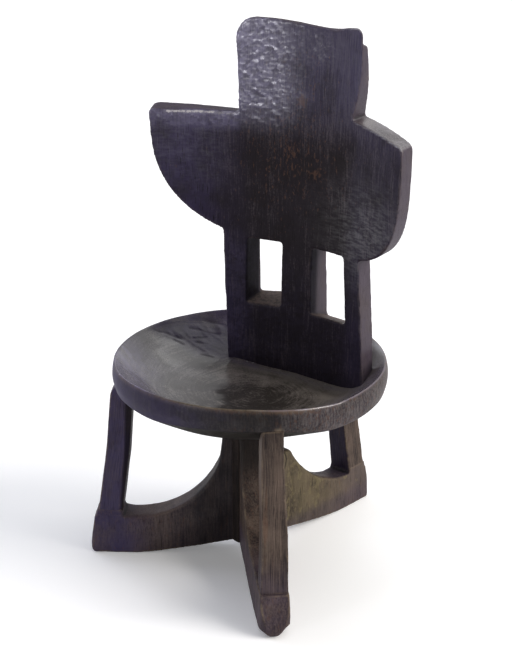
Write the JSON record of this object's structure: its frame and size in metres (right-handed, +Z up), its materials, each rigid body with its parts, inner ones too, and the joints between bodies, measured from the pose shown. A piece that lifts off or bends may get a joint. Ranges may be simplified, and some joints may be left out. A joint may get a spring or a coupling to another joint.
{
  "type": "carved wooden chair",
  "caption": "Low carved wooden chair: round dished seat on a centre post and braced legs, with a tall curved back board of windows, half-moon and square head.",
  "frame": {"origin": "middle of the chair's box, on the floor", "axes": "+Z up; the sitter faces -Y, so the back board stands on the +Y side; +X is on the sitter's left"},
  "size_m": [0.4466, 0.4836, 0.8135],
  "materials": {
    "seat_wood": "dark patina, polished by use",
    "board_wood": "dark patina, small tool facets",
    "post_wood": "dark, dull",
    "runner_wood": "dark brown, worn and dusty",
    "strut_wood": "dark brown, strong upright grain"
  },
  "bodies": {
    "root": {"seat": "seat_wood", "back_board": "board_wood", "centre_post": "post_wood", "front_right_runner": "runner_wood", "front_left_runner": "runner_wood", "rear_runner": "runner_wood", "front_right_strut": "strut_wood", "front_left_strut": "strut_wood", "rear_strut": "strut_wood"}
  },
  "joints": []
}
